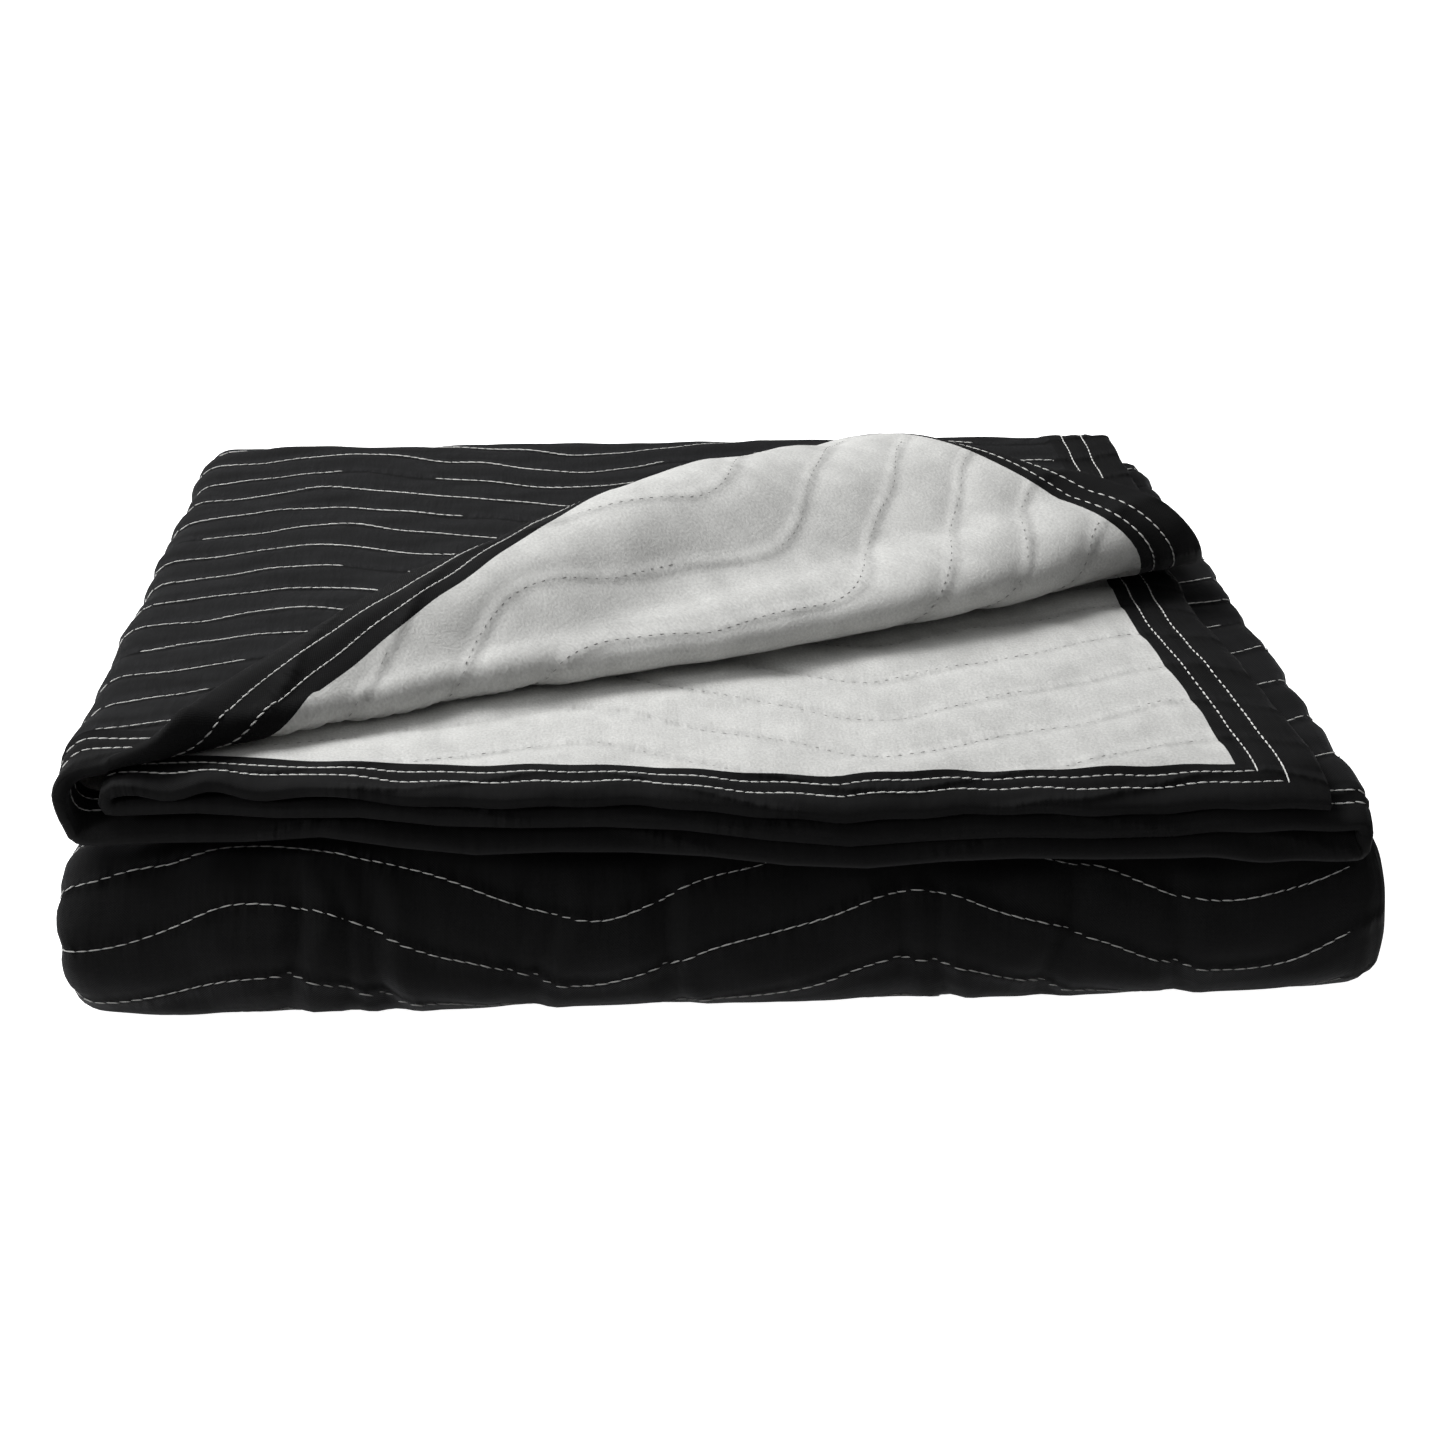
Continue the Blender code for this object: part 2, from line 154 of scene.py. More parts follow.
# Unevenness of the whole stack, and the ruffle of the front hems' left end
RUMPLE = 0.0014
RUFFLE = 0.0016

# Cells of the mesh round the wide and the tight folds, and inside the stack
FOLD_CELL = 0.0026
TIGHT_CELL = 0.0018
HIDDEN_CELL = 0.030
ROWS_A_LINE = 7

# The photograph's view
PHOTO_WIDE = 1445.0
LENS_PIXELS = 2700.0
SENSOR = 36.0
CAMERA_AT = (-0.049, -1.164, 0.510)
CAMERA_YAW = math.radians(-2.8)
CAMERA_PITCH = math.radians(22.2)


def smooth(t):
    t = np.clip(t, 0.0, 1.0)
    return t * t * (3.0 - 2.0 * t)


def arc(centre, across, high, start, end, steps, power=2.0):
    """Points on a squarish arc round a centre, without its two ends."""
    a = np.radians(start + (end - start) * np.arange(1, steps) / steps)
    c, s = np.cos(a), np.sin(a)
    c = np.sign(c) * np.abs(c) ** (2.0 / power)
    s = np.sign(s) * np.abs(s) ** (2.0 / power)
    return np.stack([centre[0] + across * c, centre[1] + high * s], 1)


def line(start, end, steps):
    t = np.linspace(0.0, 1.0, steps + 1)[:, None]
    return np.array(start) * (1.0 - t) + np.array(end) * t


def measured(points, *others):
    """Rows of (distance along, then the coordinates) for a line and others matched to it."""
    steps = np.linalg.norm(np.diff(points, axis=0), axis=1)
    far = np.concatenate([[0.0], np.cumsum(steps)])
    keep = np.concatenate([[True], steps > 1e-9])
    return np.column_stack([far, points, *others])[keep]


def section(hem, turn, wrap, right_fold):
    """The strip's section as (x, height) points, from the outer layer's free hem on."""
    top, up, down, low = 1.5 * LAYER, 0.5 * LAYER, -0.5 * LAYER, -1.5 * LAYER
    end = line((hem, top), (turn, top), 20)
    if wrap:
        a = np.radians(np.linspace(-62.0, 90.0, 21))
        end = np.stack([turn + wrap * np.cos(a), top * np.sin(a)], 1)
    return np.concatenate([
        end,
        line((turn, top), (LEFT_FOLD, top), 60)[1:],
        arc((LEFT_FOLD, 0.0), LEFT_BULGE, top, 90, 270, 48, 2.2),
        line((LEFT_FOLD, low), (right_fold, low), 60),
        arc((right_fold, -LAYER), RIGHT_BULGE, 0.5 * LAYER, -90, 90, 32),
        line((right_fold, down), (INNER_LEFT, down), 60),
        arc((INNER_LEFT, 0.0), RIGHT_BULGE, 0.5 * LAYER, 270, 90, 32),
        line((INNER_LEFT, up), (INNER_RIGHT_HEM, up), 60),
    ])


def path():
    """The strip's middle as (y, z) points, from the front hem to the hidden end."""
    bottom, third, fourth, top = [FIRST_MID + STRIP * k for k in range(4)]
    centre = 0.5 * (bottom + top)
    nose = bottom + NOSE_RADIUS
    return np.concatenate([
        line((FRONT, top), (BACK, top), 80),
        arc((BACK, centre), BACK_BULGE, 0.5 * (top - bottom), 90, -90, 80, 2.5),
        line((BACK, bottom), (NOSE, bottom), 80),
        arc((NOSE, nose), NOSE_RADIUS, NOSE_RADIUS, 270, 90, 60, 2.15),
        line((NOSE, nose + NOSE_RADIUS), (NOSE + NOSE_SETTLE, third), 24),
        line((NOSE + NOSE_SETTLE, third), (INNER_BACK, third), 40)[1:],
        arc((INNER_BACK, centre), 0.5 * STRIP, 0.5 * STRIP, -90, 90, 40),
        line((INNER_BACK, fourth), (HIDDEN_END, fourth), 40),
    ])


SECTION = measured(
    section(RIGHT_HEM, RIGHT_TURN, 0.0, RIGHT_FOLD),
    section(WRAP_TURN + 0.010, WRAP_TURN, 0.0, LOWER_RIGHT_FOLD),
    section(0.0, WRAP_TURN, WRAP_OUT, LOWER_RIGHT_FOLD),
)
PATH = measured(path())
TOP_LONG = RIGHT_HEM - LEFT_FOLD
PANEL_LONG = BACK - FRONT
LOWER_WIDER = (WRAP_TURN - LEFT_FOLD) / (RIGHT_TURN - LEFT_FOLD) - 1.0
U_LONG = float(SECTION[-1, 0])


def along(table, far, first=1):
    """Two coordinates of a measured line at some distances."""
    at = table[:, 0]
    return np.interp(far, at, table[:, first]), np.interp(far, at, table[:, first + 1])


def upward(far):
    """The strip's middle at some distances along its path, and its upward direction there."""
    y, z = along(PATH, far)
    ya, za = along(PATH, np.clip(far - 0.002, 0.0, PATH[-1, 0]))
    yb, zb = along(PATH, np.clip(far + 0.002, 0.0, PATH[-1, 0]))
    long = np.hypot(yb - ya, zb - za)
    return y, z, -(zb - za) / long, (yb - ya) / long


def place_of(table, column, value, after):
    """The first distance past one place where a column of the table passes a value."""
    rows = table[table[:, 0] > after]
    side = np.sign(rows[:, column] - value)
    return float(rows[int(np.argmax(side != side[0])), 0])


LEFT_END = place_of(SECTION, 2, -1.5 * LAYER + 1e-6, TOP_LONG)
RIGHT_START = place_of(SECTION, 1, RIGHT_FOLD - 1e-6, LEFT_END + 0.01)
RIGHT_END = place_of(SECTION, 2, -0.5 * LAYER - 1e-6, RIGHT_START)
INNER_START = place_of(SECTION, 1, INNER_LEFT + 1e-6, RIGHT_END + 0.01)
INNER_END = place_of(SECTION, 2, 0.5 * LAYER - 1e-6, INNER_START)
PATH_BACK_END = place_of(PATH, 2, FIRST_MID + 1e-6, PANEL_LONG)
PATH_NOSE_START = place_of(PATH, 1, NOSE + 1e-6, PATH_BACK_END + 0.01)
PATH_NOSE_END = place_of(PATH, 1, NOSE - 1e-6, PATH_NOSE_START + 0.02)
PATH_INNER_BACK = place_of(PATH, 1, INNER_BACK - 1e-6, PATH_NOSE_END)
PATH_INNER_END = place_of(PATH, 1, INNER_BACK + 1e-6, PATH_INNER_BACK + 0.01)


def outer_lengths():
    """The flat cloth's v for each row of the path, as the outer layer measures it."""
    y, z, ny, nz = upward(PATH[:, 0])
    outer = np.stack([y + OUTER_FACE * ny, z + OUTER_FACE * nz], 1)
    steps = np.linalg.norm(np.diff(outer, axis=0), axis=1)
    mid = 0.5 * (PATH[1:, 0] + PATH[:-1, 0])
    under = (mid > PATH_BACK_END) & (mid < PATH_NOSE_START)
    steps = np.where(under, steps * (1.0 + LOWER_SLACK), steps)
    return np.concatenate([[0.0], np.cumsum(steps)])


OUTER = outer_lengths()
V_LONG = float(OUTER[-1])


def flat_place(far):
    return float(np.interp(far, PATH[:, 0], OUTER))


BACK_END = flat_place(PATH_BACK_END)
NOSE_START = flat_place(PATH_NOSE_START)
NOSE_END = flat_place(PATH_NOSE_END)
INNER_BACK_AT = flat_place(PATH_INNER_BACK)
INNER_BACK_END = flat_place(PATH_INNER_END)


def roll_radius(far):
    opened = ROLL_OPEN * (1.0 - smooth(far / 0.06))
    return ROLL_START + opened + ROLL_GROWS * np.clip(far / ROLL_LONG, 0.0, 1.2) ** ROLL_POWER


def turned(x, y):
    """How the front right corner of the top layer lies: x, y and height above the layer."""
    ax, ay = x - APEX[0], y - APEX[1]
    c, s = math.cos(FOLD_ANGLE), math.sin(FOLD_ANGLE)
    along_fold, past = ax * c + ay * s, ax * s - ay * c
    on = (past > 0.0) & (along_fold > 0.0)
    e = np.where(on, along_fold, 1.0)
    d = np.where(on, past, 0.0)
    r = roll_radius(e)
    belly = np.interp(e, FLAP_AT, BELLY)
    round_it = math.pi * r + 0.9 * belly
    angle = np.minimum(d / round_it, 1.0) * math.pi
    far = np.maximum(d - round_it, 0.0)
    front = (APEX[1] - FRONT + e * s) / c
    right = (RIGHT_HEM - APEX[0] - e * c) / s
    whole = np.maximum(0.02, np.minimum(front, right) - round_it)
    q = np.clip(far / whole, 0.0, 1.0)
    room = 1.0 - (1.0 - smooth(whole / 0.13)) * smooth((e - 0.30) / 0.05)
    rise = (np.interp(e, FLAP_AT, FLAP_HEM) - 2.0 * r) * room
    peak = 1.0 + (FLAP_PEAK[0] - 1.0) * smooth((e - 0.15) / 0.10)
    peak = peak + (FLAP_PEAK[1] - FLAP_PEAK[0]) * smooth((e - 0.32) / 0.10)
    bow = np.interp(e, FLAP_AT, FLAP_BOW) * room
    bow = bow * np.sin(math.pi * q ** peak) ** 1.2
    slope = np.sqrt(np.clip(1.0 - (rise / whole) ** 2, 0.4, 1.0))
    rolled = far <= 0.0
    slack = (whole + 0.9 * belly) / whole
    out = np.where(rolled, (r + belly) * np.sin(angle), -far * slope * slack)
    high = np.where(rolled, r * (1.0 - np.cos(angle)), 2.0 * r + rise * q ** peak + bow)
    tx = APEX[0] + e * c + out * s
    ty = APEX[1] + e * s - out * c
    return np.where(on, tx, x), np.where(on, ty, y), np.where(on, high, 0.0)


def section_at(u, v):
    """The strip's section for points of the flat cloth: across, and height in the strip."""
    x1, n1 = along(SECTION, u)
    x2, n2 = along(SECTION, u, 3)
    x3, n3 = along(SECTION, u, 5)
    spread = smooth((v - PATH_BACK_END) / SPREAD_LONG)
    wrap = smooth((v - PATH_BACK_END - WRAP_AFTER) / WRAP_LONG)
    x = x1 + (x2 - x1) * spread + (x3 - x2) * wrap
    return x, n1 + (n3 - n1) * wrap


def front_edge(x, y, v, level):
    """How far the front hems of the first panel reach out and how far they hang."""
    side = 0.30 + 0.70 * smooth((x + 0.215) / 0.16)
    out = np.interp(level, LEVELS, REACH)
    at_hem = np.interp(level, LEVELS, REACH_AT_HEM)
    t = np.clip(v / HEM, 0.0, 1.0)
    reach = out + (at_hem - out) * t
    reach = reach * (1.0 - smooth((v - HEM) / 0.14)) * side * np.interp(x, STACK_AT, STACK_REACH)
    y = y - reach
    depth = np.maximum(0.0, HANG_FROM - y) / HANG_LONG
    ripple = RIPPLE_HIGH * (1.0 + np.sin(x * RIPPLES)) * smooth((0.02 - x) / 0.05)
    ripple = np.where((level < -0.6) & (x < 0.02), ripple, 0.0)
    heavy = 0.55 + 0.45 * smooth((x + 0.10) / 0.20)
    lowest = smooth((-0.9 - level) / 0.4)
    heavy = heavy * side + (1.0 - heavy * side) * lowest * 0.8
    droop = LOWEST_DROOP * lowest * (smooth((-0.155 - x) / 0.03) + 0.6 * smooth((x - 0.17) / 0.04))
    hang = (np.interp(level, LEVELS, HANG) * heavy + droop + ripple) * depth ** 2
    return y, hang


def middle(u, v):
    """Where the middle of the cloth lies for points of the flat cloth."""
    u = np.asarray(u, float)
    v = np.interp(v, OUTER, PATH[:, 0])
    x, n = section_at(u, v)
    y, z, ny, nz = upward(v)
    level = n / LAYER
    first = v < PANEL_LONG
    ey, hang = front_edge(x, y, v, level)
    y, hang = np.where(first, ey, y), np.where(first, hang, 0.0)
    second = np.interp(level, LEVELS, (0.0, 0.0, 1.0, 0.0)) * first
    x = x + second * SECOND_SHIFT * smooth((x - 0.08) / 0.13) * smooth((-y - 0.02) / 0.20)
    tx, ty, lift = turned(x, y)
    top = first & (u < TOP_LONG)
    x, y, lift = np.where(top, tx, x), np.where(top, ty, y), np.where(top, lift, 0.0)
    tip = smooth((x - 0.15) / 0.07) * smooth((y - 0.11) / 0.07)
    lift = lift + np.where(top, TIP_LIFT * tip, 0.0)
    px, py, pz = x, y + n * ny, z + n * nz + lift - hang
    corner = smooth((np.abs(px - CENTRE[0]) - CORNER_FROM) / CORNER_LONG) ** 2
    corner = corner * smooth((-0.190 - py) / 0.045) * (1.0 - smooth((pz - 0.005) / 0.095))
    pz = pz + np.where(first, 0.0, CORNER_LIFT * corner)
    share = np.clip(pz / 0.09, 0.0, 1.0)
    px = px * (1.0 + 0.012 * (-py / 0.23))
    pz = pz + share * 0.0011 * np.sin(9.0 * px + 1.0) * np.cos(7.0 * py)
    return np.stack([px - CENTRE[0], py - CENTRE[1], pz], -1)


def facing(u, v, e=0.0006):
    """The cloth's direction of its felt side, and its directions along u and v."""
    du = middle(np.minimum(u + e, U_LONG), v) - middle(np.maximum(u - e, 0.0), v)
    dv = middle(u, np.minimum(v + e, V_LONG)) - middle(u, np.maximum(v - e, 0.0))
    n = np.cross(du, dv)
    return n / np.linalg.norm(n, axis=-1, keepdims=True), du, dv


def pattern_u(u, v):
    """Where a point lies across the quilting pattern; the lower panels' cloth lies wider."""
    spread = smooth((np.interp(v, OUTER, PATH[:, 0]) - PATH_BACK_END) / SPREAD_LONG)
    wider = TOP_LONG - (TOP_LONG - u) * (1.0 + LOWER_WIDER * spread)
    return np.where(np.asarray(u) < TOP_LONG, wider, u)


def wave(u, v):
    """How far the quilting lines swing from straight, along v, near a place along v."""
    a = 2.0 * math.pi * (pattern_u(u, v) + WAVE_SHIFT) / WAVE
    return WAVE_HIGH * 0.9 * (np.sin(a) - np.sin(3.0 * a) / 9.0)


def waver(a, b, seed):
    """A slow uneven wave of two coordinates, between about -1 and 1."""
    first = np.sin(71.0 * a + 23.0 * b + 1.7 * seed) * np.cos(19.0 * a - 83.0 * b + 2.9 * seed)
    second = np.sin(139.0 * a - 47.0 * b + 4.1 * seed) * np.cos(61.0 * a + 127.0 * b + seed)
    return 0.65 * first + 0.35 * second


def rumpled(p):
    """The points with the cloth's small unevenness; each shift is the same through the stack."""
    x, y, z = p[:, 0], p[:, 1], p[:, 2]
    loose = smooth(z / 0.030)
    front = smooth((-0.195 - y) / 0.03)
    dx = RUMPLE * waver(y, 1.4 * z, 1.0) * (0.6 + 0.9 * smooth((np.abs(x) - 0.20) / 0.04))
    dy = RUMPLE * waver(x, 0.7 * z, 2.0) * (0.7 + 0.5 * front)
    dz = RUMPLE * waver(x, y, 3.0) * loose * (0.7 + 0.4 * front)
    left = front * smooth((-0.10 - x) / 0.06) * smooth((z - 0.055) / 0.02)
    dz = dz + RUFFLE * left * np.sin(155.0 * x + 0.8 * np.sin(60.0 * x))
    return p + np.stack([dx * loose, dy * loose, dz], -1)


def line_gap(u, v):
    """The distance along v from the nearest quilting line."""
    t = (v - FIRST_LINE - wave(u, v)) / LINES_APART
    return np.abs(t - np.round(t)) * LINES_APART


def edge_gap(u, v):
    return np.minimum(np.minimum(u, U_LONG - u), np.minimum(v, V_LONG - v))


def buried(v):
    """1 where the cloth runs inside the stack and only its side folds show, else 0."""
    low = smooth((v - BACK_END - 0.02) / 0.02) * smooth((NOSE_START - 0.03 - v) / 0.02)
    return np.maximum(low, smooth((v - NOSE_END - 0.04) / 0.02))


def half_thickness(u, v, crest, valley):
    """Half the cloth's thickness: puffed between the lines, pinched by stitches and hems."""
    gap, edge = line_gap(u, v), edge_gap(u, v)
    puff = np.maximum(1.0 - np.exp(-((gap / FURROW_WIDE) ** 2)), buried(v))
    h = valley + (crest - valley) * puff
    rows = np.minimum(np.abs(edge - HEM_ROWS[0]), np.abs(edge - HEM_ROWS[1]))
    band = crest - ROW_DEEP * np.exp(-((rows / ROW_WIDE) ** 2))
    round_edge = np.sqrt(np.clip(edge / EDGE_ROUND, 0.0, 1.0))
    band = band * (0.55 + 0.45 * round_edge)
    return np.where(edge <= HEM, band, h)


def resting(u, v):
    """Where the lowest face of the stack lies on the surface."""
    return (v > BACK_END) & (v < NOSE_START) & (u > WRAPPED) & (u < TOP_LONG)


class BlanketSizes(bpy.types.PropertyGroup):
    crest: bpy.props.FloatProperty(
        name="Crest", description="Half the cloth's thickness between the quilting lines",
        default=0.0030, min=0.001, max=0.0033, unit="LENGTH", precision=5)
    valley: bpy.props.FloatProperty(
        name="Valley", description="Half the cloth's thickness at a quilting line",
        default=0.0017, min=0.0008, max=0.003, unit="LENGTH", precision=5)
    cell: bpy.props.FloatProperty(
        name="Cell", description="Size of the mesh's cells where the cloth shows",
        default=0.0042, min=0.003, max=0.02, unit="LENGTH", precision=5)
    stitch: bpy.props.FloatProperty(
        name="Stitch", description="From one quilting stitch to the next",
        default=0.0046, min=0.002, max=0.01, unit="LENGTH", precision=5)
    hem_stitch: bpy.props.FloatProperty(
        name="Hem stitch", description="From one hem stitch to the next",
        default=0.0038, min=0.002, max=0.01, unit="LENGTH", precision=5)
    thread: bpy.props.FloatProperty(
        name="Thread", description="Thickness of the thread",
        default=0.0006, min=0.0004, max=0.003, unit="LENGTH", precision=5)


class BlanketLooks(bpy.types.PropertyGroup):
    woven: bpy.props.FloatVectorProperty(
        name="Woven face", description="Colour of the woven face", subtype="COLOR",
        default=(0.0052, 0.0052, 0.0054), min=0.0, max=1.0)
    felt: bpy.props.FloatVectorProperty(
        name="Felt face", description="Colour of the felt face", subtype="COLOR",
        default=(0.585, 0.585, 0.570), min=0.0, max=1.0)
    thread: bpy.props.FloatVectorProperty(
        name="Thread", description="Colour of the thread", subtype="COLOR",
        default=(0.72, 0.72, 0.70), min=0.0, max=1.0)
    floor: bpy.props.FloatVectorProperty(
        name="Floor", description="Colour of the plain floor", subtype="COLOR",
        default=(0.90, 0.90, 0.90), min=0.0, max=1.0)


def socket(group, name, kind, low=False, value=None):
    s = group.interface.new_socket(name=name, in_out="OUTPUT" if low else "INPUT", socket_type=kind)
    if value is not None:
        s.default_value = value
    return s


def node(tree, kind, inputs=None, **settings):
    """A node with its settings and inputs; an input that is a socket is linked."""
    n = tree.nodes.new(kind)
    for key, value in settings.items():
        setattr(n, key, value)
    for key, value in (inputs or {}).items():
        if isinstance(value, bpy.types.NodeSocket):
            tree.links.new(value, n.inputs[key])
        else:
            n.inputs[key].default_value = value
    return n


def sums(tree, kind, *values):
    """A math node's result."""
    return node(tree, "ShaderNodeMath", dict(enumerate(values)), operation=kind).outputs[0]


def line_group():
    """How near a point of the flat cloth is to a quilting line, from 0 away to 1 on it."""
    g = bpy.data.node_groups.new("Quilting lines", "ShaderNodeTree")
    socket(g, "Flat", "NodeSocketVector")
    socket(g, "Width", "NodeSocketFloat", value=0.004)
    socket(g, "Near", "NodeSocketFloat", low=True)
    start, end = g.nodes.new("NodeGroupInput"), g.nodes.new("NodeGroupOutput")
    parts = node(g, "ShaderNodeSeparateXYZ", {0: start.outputs["Flat"]})
    u, v = parts.outputs[0], parts.outputs[1]
    a = sums(g, "MULTIPLY", sums(g, "ADD", u, WAVE_SHIFT), 2.0 * math.pi / WAVE)
    third = sums(g, "DIVIDE", sums(g, "SINE", sums(g, "MULTIPLY", a, 3.0)), 9.0)
    swing = sums(g, "SUBTRACT", sums(g, "SINE", a), third)
    swing = sums(g, "MULTIPLY", swing, WAVE_HIGH * 0.9)
    t = sums(g, "SUBTRACT", sums(g, "SUBTRACT", v, FIRST_LINE), swing)
    off = sums(g, "PINGPONG", sums(g, "ADD", t, 40 * LINES_APART), 0.5 * LINES_APART)
    ratio = sums(g, "DIVIDE", off, start.outputs["Width"])
    near = sums(g, "EXPONENT", sums(g, "MULTIPLY", sums(g, "MULTIPLY", ratio, ratio), -1.0))
    g.links.new(near, end.inputs["Near"])
    return g


def weave_group():
    """Yarns of the woven face: a height from 0 to 1, and slow streaks along the yarns."""
    g = bpy.data.node_groups.new("Weave", "ShaderNodeTree")
    socket(g, "Flat", "NodeSocketVector")
    socket(g, "Yarn", "NodeSocketFloat", value=0.0011)
    socket(g, "Height", "NodeSocketFloat", low=True)
    socket(g, "Streak", "NodeSocketFloat", low=True)
    start, end = g.nodes.new("NodeGroupInput"), g.nodes.new("NodeGroupOutput")
    parts = node(g, "ShaderNodeSeparateXYZ", {0: start.outputs["Flat"]})
    turn = sums(g, "DIVIDE", 2.0 * math.pi, start.outputs["Yarn"])
    warp = sums(g, "SINE", sums(g, "MULTIPLY", parts.outputs[0], turn))
    weft = sums(g, "SINE", sums(g, "MULTIPLY", parts.outputs[1], turn))
    product = sums(g, "MULTIPLY", warp, weft)
    height = sums(g, "MULTIPLY_ADD", product, 0.5, 0.5)
    stretched = node(g, "ShaderNodeMapping", {0: start.outputs["Flat"], "Scale": (14.0, 900.0, 1.0)})
    fine = node(g, "ShaderNodeTexNoise", {"Vector": stretched.outputs[0], "Scale": 1.0, "Detail": 3.0})
    crossed = node(g, "ShaderNodeMapping", {0: start.outputs["Flat"], "Scale": (900.0, 14.0, 1.0)})
    other = node(g, "ShaderNodeTexNoise", {"Vector": crossed.outputs[0], "Scale": 1.0, "Detail": 3.0})
    streak = sums(g, "MULTIPLY", sums(g, "ADD", fine.outputs[0], other.outputs[0]), 0.5)
    g.links.new(height, end.inputs["Height"])
    g.links.new(streak, end.inputs["Streak"])
    return g


def pucker_group():
    """Small puckers that run across the quilting lines, strongest beside a line."""
    g = bpy.data.node_groups.new("Puckers", "ShaderNodeTree")
    socket(g, "Flat", "NodeSocketVector")
    socket(g, "Near", "NodeSocketFloat")
    socket(g, "Height", "NodeSocketFloat", low=True)
    start, end = g.nodes.new("NodeGroupInput"), g.nodes.new("NodeGroupOutput")
    across = node(g, "ShaderNodeMapping", {0: start.outputs["Flat"], "Scale": (170.0, 45.0, 1.0)})
    folds = node(g, "ShaderNodeTexNoise", {"Vector": across.outputs[0], "Scale": 1.0, "Detail": 2.0})
    broad = node(g, "ShaderNodeMapping", {0: start.outputs["Flat"], "Scale": (22.0, 34.0, 1.0)})
    slow = node(g, "ShaderNodeTexNoise", {"Vector": broad.outputs[0], "Scale": 1.0, "Detail": 1.0})
    near = sums(g, "MULTIPLY_ADD", start.outputs["Near"], 0.8, 0.2)
    height = sums(g, "MULTIPLY", folds.outputs[0], near)
    height = sums(g, "ADD", height, sums(g, "MULTIPLY", slow.outputs[0], 1.4))
    g.links.new(height, end.inputs["Height"])
    return g


def shader(name, rgb, rough, sheen=0.0):
    m = bpy.data.materials.new(name)
    m.use_nodes = True
    tree = m.node_tree
    bsdf = tree.nodes["Principled BSDF"]
    bsdf.inputs["Base Color"].default_value = (*rgb, 1.0)
    bsdf.inputs["Roughness"].default_value = rough
    bsdf.inputs["Specular IOR Level"].default_value = 0.10
    bsdf.inputs["Sheen Weight"].default_value = sheen
    bsdf.inputs["Sheen Roughness"].default_value = 0.45
    m.diffuse_color = (*rgb, 1.0)
    return m, tree, bsdf


def tinted(tree, rgb, factor, low, high):
    """The colour times a value that a 0 to 1 factor moves between two limits."""
    scale = node(tree, "ShaderNodeMapRange", {0: factor, "To Min": low, "To Max": high}).outputs[0]
    mix = node(tree, "ShaderNodeVectorMath", {0: rgb, "Scale": scale}, operation="SCALE")
    return mix.outputs[0]


def groups():
    """The shared shader groups, made once."""
    made = {"Quilting lines": line_group, "Weave": weave_group, "Puckers": pucker_group}
    return {name: bpy.data.node_groups.get(name) or make() for name, make in made.items()}


def cloth_tree(tree):
    """The nodes that both faces share: flat coordinates, lines, puckers."""
    shared = groups()
    flat = node(tree, "ShaderNodeUVMap", uv_map="Flat").outputs[0]
    lines = node(tree, "ShaderNodeGroup", node_tree=shared["Quilting lines"])
    tree.links.new(flat, lines.inputs["Flat"])
    pucker = node(tree, "ShaderNodeGroup", node_tree=shared["Puckers"])
    tree.links.new(flat, pucker.inputs["Flat"])
    tree.links.new(lines.outputs["Near"], pucker.inputs["Near"])
    return flat, lines, pucker


def woven_material(name, rgb, hem=False):
    m, tree, bsdf = shader(name, rgb, 0.85, 0.02 if hem else 0.07)
    bsdf.inputs["Sheen Tint"].default_value = (0.55, 0.56, 0.60, 1.0)
    flat, lines, pucker = cloth_tree(tree)
    weave = node(tree, "ShaderNodeGroup", node_tree=groups()["Weave"])
    tree.links.new(flat, weave.inputs["Flat"])
    colour = tinted(tree, rgb, weave.outputs["Streak"], 0.55, 1.45)
    # Painted shade: the woven face's colour is darkened to 0.62 along the quilting furrows; the hem
    # binding is left without it
    if not hem:
        colour = tinted(tree, colour, lines.outputs["Near"], 1.0, 0.62)
    tree.links.new(colour, bsdf.inputs["Base Color"])
    lines.inputs["Width"].default_value = 0.0035
    yarns = node(tree, "ShaderNodeBump", {
        "Height": weave.outputs["Height"], "Strength": 0.35, "Distance": 0.0004})
    folds = node(tree, "ShaderNodeBump", {
        "Height": pucker.outputs["Height"], "Strength": 0.80, "Distance": 0.0050,
        "Normal": yarns.outputs[0]})
    tree.links.new(folds.outputs[0], bsdf.inputs["Normal"])
    return m


def felt_material(name, rgb):
    m, tree, bsdf = shader(name, rgb, 0.95, 0.15)
    flat, lines, pucker = cloth_tree(tree)
    lines.inputs["Width"].default_value = 0.0026
    fibres = node(tree, "ShaderNodeTexNoise", {"Vector": flat, "Scale": 900.0, "Detail": 4.0})
    patches = node(tree, "ShaderNodeTexNoise", {"Vector": flat, "Scale": 95.0, "Detail": 5.0})
    colour = tinted(tree, rgb, fibres.outputs[0], 0.70, 1.26)
    colour = tinted(tree, colour, patches.outputs[0], 0.80, 1.17)
    # Painted shade: the felt's colour is darkened to 0.93 along the quilting furrows
    colour = tinted(tree, colour, lines.outputs["Near"], 1.0, 0.93)
    tree.links.new(colour, bsdf.inputs["Base Color"])
    fuzz = node(tree, "ShaderNodeBump", {
        "Height": fibres.outputs[0], "Strength": 0.45, "Distance": 0.0006})
    folds = node(tree, "ShaderNodeBump", {
        "Height": pucker.outputs["Height"], "Strength": 0.50, "Distance": 0.0035,
        "Normal": fuzz.outputs[0]})
    tree.links.new(folds.outputs[0], bsdf.inputs["Normal"])
    return m


def thread_material(name, rgb):
    m, tree, bsdf = shader(name, rgb, 0.7, 0.1)
    place = node(tree, "ShaderNodeTexCoord").outputs["Object"]
    shades = node(tree, "ShaderNodeTexNoise", {"Vector": place, "Scale": 420.0, "Detail": 2.0})
    tree.links.new(tinted(tree, rgb, shades.outputs[0], 0.7, 1.25), bsdf.inputs["Base Color"])
    return m


